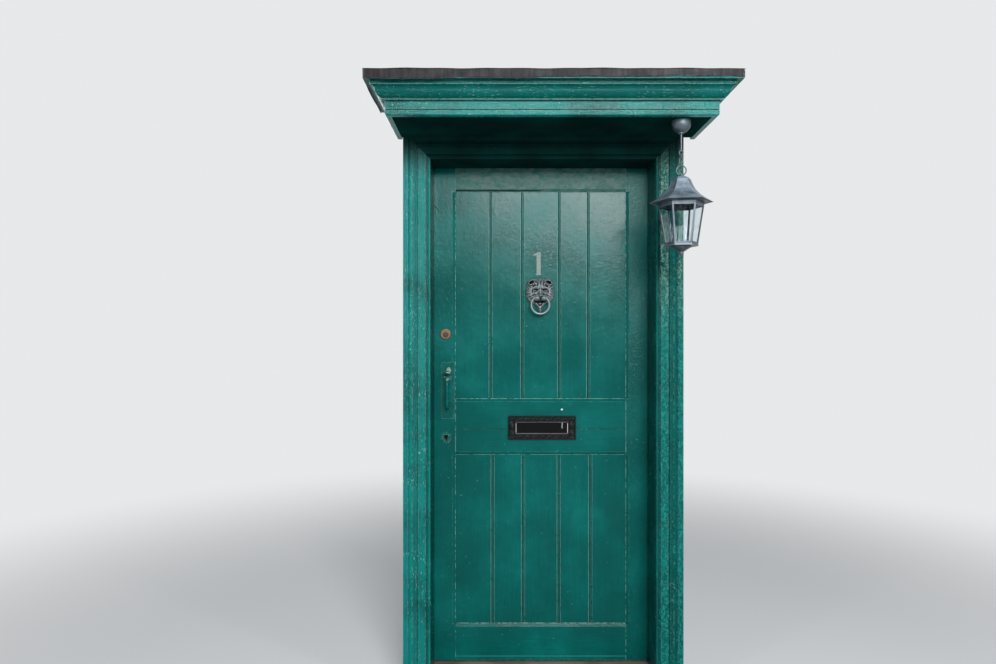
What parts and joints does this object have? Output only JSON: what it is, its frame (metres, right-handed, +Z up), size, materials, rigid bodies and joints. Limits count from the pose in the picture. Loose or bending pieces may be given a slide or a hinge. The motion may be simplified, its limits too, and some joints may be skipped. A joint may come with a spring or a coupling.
{
  "type": "framed and boarded front door with moulded frame and leaded hood",
  "caption": "Inward-opening front door: matchboarded panels in a moulded frame, under a lead-covered hood with a hanging lantern, with latch, locks, letter plate and ring knocker.",
  "frame": {"origin": "middle of the threshold's underside, level with the front face of the frame's architrave", "axes": "+X to the right seen from outside, +Y into the house, +Z up"},
  "size_m": [1.271, 0.5695, 2.322],
  "materials": {
    "painted_wood": "thick gloss paint, worn at the arrises",
    "lead": "dull weathered sheet lead",
    "black_iron": "weathered dark iron",
    "painted_iron": "gloss paint worn off the edges",
    "brass": "tarnished",
    "steel": "dull steel",
    "pale_metal": "weathered pale paint",
    "lantern_metal": "weathered grey-blue",
    "glass": "clear",
    "holder_plastic": "matt"
  },
  "bodies": {
    "frame": {"frame_head": "painted_wood", "frame_hinge_leaves": "steel", "frame_hinge_screws": "steel", "head_architrave": "painted_wood", "hinge_pins": "steel", "hood_back_rail": "painted_wood", "hood_cornice": "painted_wood", "hood_fascia": "painted_wood", "hood_soffit": "painted_wood", "hood_top_board": "painted_wood", "lantern_hook": "lantern_metal", "latch_keeper": "black_iron", "lead_cover": "lead", "left_architrave": "painted_wood", "left_jamb": "painted_wood", "lock_strike": "steel", "night_latch_keep": "painted_iron", "right_architrave": "painted_wood", "right_jamb": "painted_wood", "threshold": "painted_wood"},
    "leaf": {"left_stile": "painted_wood", "right_stile": "painted_wood", "top_rail": "painted_wood", "mid_rail_upper": "painted_wood", "mid_rail_lower": "painted_wood", "bottom_rail": "painted_wood", "upper_board_1": "painted_wood", "upper_board_2": "painted_wood", "upper_board_3": "painted_wood", "upper_board_4": "painted_wood", "upper_board_5": "painted_wood", "lower_board_1": "painted_wood", "lower_board_2": "painted_wood", "lower_board_3": "painted_wood", "lower_board_4": "painted_wood", "lower_board_5": "painted_wood", "leaf_hinge_leaves": "steel", "leaf_hinge_screws": "steel", "letter_plate": "black_iron", "knocker_head": "black_iron", "house_number": "pale_metal", "cylinder_body": "brass", "night_latch_case": "painted_iron", "latch_handle": "painted_iron", "latch_guide": "black_iron", "lock_case": "steel"},
    "letter_flap": {"letter_flap": "black_iron"},
    "knocker_ring": {"knocker_ring": "black_iron"},
    "cylinder_plug": {"cylinder_plug": "brass"},
    "night_latch_bolt": {"night_latch_bolt": "brass"},
    "night_latch_knob": {"night_latch_knob": "brass"},
    "thumb_lever": {"thumb_lever": "painted_iron"},
    "latch_bar": {"latch_bar": "black_iron"},
    "lock_bolt": {"lock_bolt": "steel"},
    "lantern_chain": {"lantern_chain": "lantern_metal"},
    "lantern": {"lantern_ring": "lantern_metal", "lantern_roof": "lantern_metal", "lantern_frame": "lantern_metal", "lantern_glass": "glass", "lamp_holder": "holder_plastic"}
  },
  "joints": [
    {"name": "leaf_hinge", "type": "hinge", "parent": "frame", "child": "leaf", "pos_m": [0.4385, 0.2, 1.0855], "axis": [0, 0, -1], "range_deg": [0, 110]},
    {"name": "letter_flap_hinge", "type": "hinge", "parent": "leaf", "child": "letter_flap", "pos_m": [0.0045, 0.153, 1.01], "axis": [1, 0, 0], "range_deg": [0, 75], "stiffness_Nm_per_rad": 0.08, "springref_deg": -17.19},
    {"name": "knocker_ring_hinge", "type": "hinge", "parent": "leaf", "child": "knocker_ring", "pos_m": [-0.003, 0.127, 1.5205], "axis": [-1, 0, 0], "range_deg": [0, 100]},
    {"name": "thumb_lever_pivot", "type": "hinge", "parent": "leaf", "child": "thumb_lever", "pos_m": [-0.374, 0.148, 1.215], "axis": [1, 0, 0], "range_deg": [0, 5]},
    {"name": "latch_bar_pivot", "type": "hinge", "parent": "leaf", "child": "latch_bar", "pos_m": [-0.351, 0.2, 1.2292], "axis": [0, 1, 0], "range_deg": [0, 14]},
    {"name": "night_latch_bolt_slide", "type": "slide", "parent": "leaf", "child": "night_latch_bolt", "axis": [-1, 0, 0], "range_m": [0, 0.016]},
    {"name": "night_latch_knob_turn", "type": "hinge", "parent": "leaf", "child": "night_latch_knob", "pos_m": [-0.383, 0.23, 1.364], "axis": [0, 1, 0], "range_deg": [0, 60.5]},
    {"name": "cylinder_plug_turn", "type": "hinge", "parent": "leaf", "child": "cylinder_plug", "pos_m": [-0.383, 0.17, 1.364], "axis": [0, 1, 0], "range_deg": [-90, 90]},
    {"name": "lock_bolt_slide", "type": "slide", "parent": "leaf", "child": "lock_bolt", "axis": [-1, 0, 0], "range_m": [0, 0.02]},
    {"name": "lantern_chain_swing", "type": "hinge", "parent": "frame", "child": "lantern_chain", "pos_m": [0.47, -0.195, 1.997], "axis": [1, 0, 0], "range_deg": [-15, 15]},
    {"name": "lantern_swing", "type": "hinge", "parent": "lantern_chain", "child": "lantern", "pos_m": [0.47, -0.195, 1.9546], "axis": [0, 1, 0], "range_deg": [-15, 15]}
  ],
  "couplings": [
    {"joint": "latch_bar_pivot", "follows": "thumb_lever_pivot", "ratio": 2.8},
    {"joint": "night_latch_knob_turn", "follows": "night_latch_bolt_slide", "rad_per_m": 65.45}
  ]
}
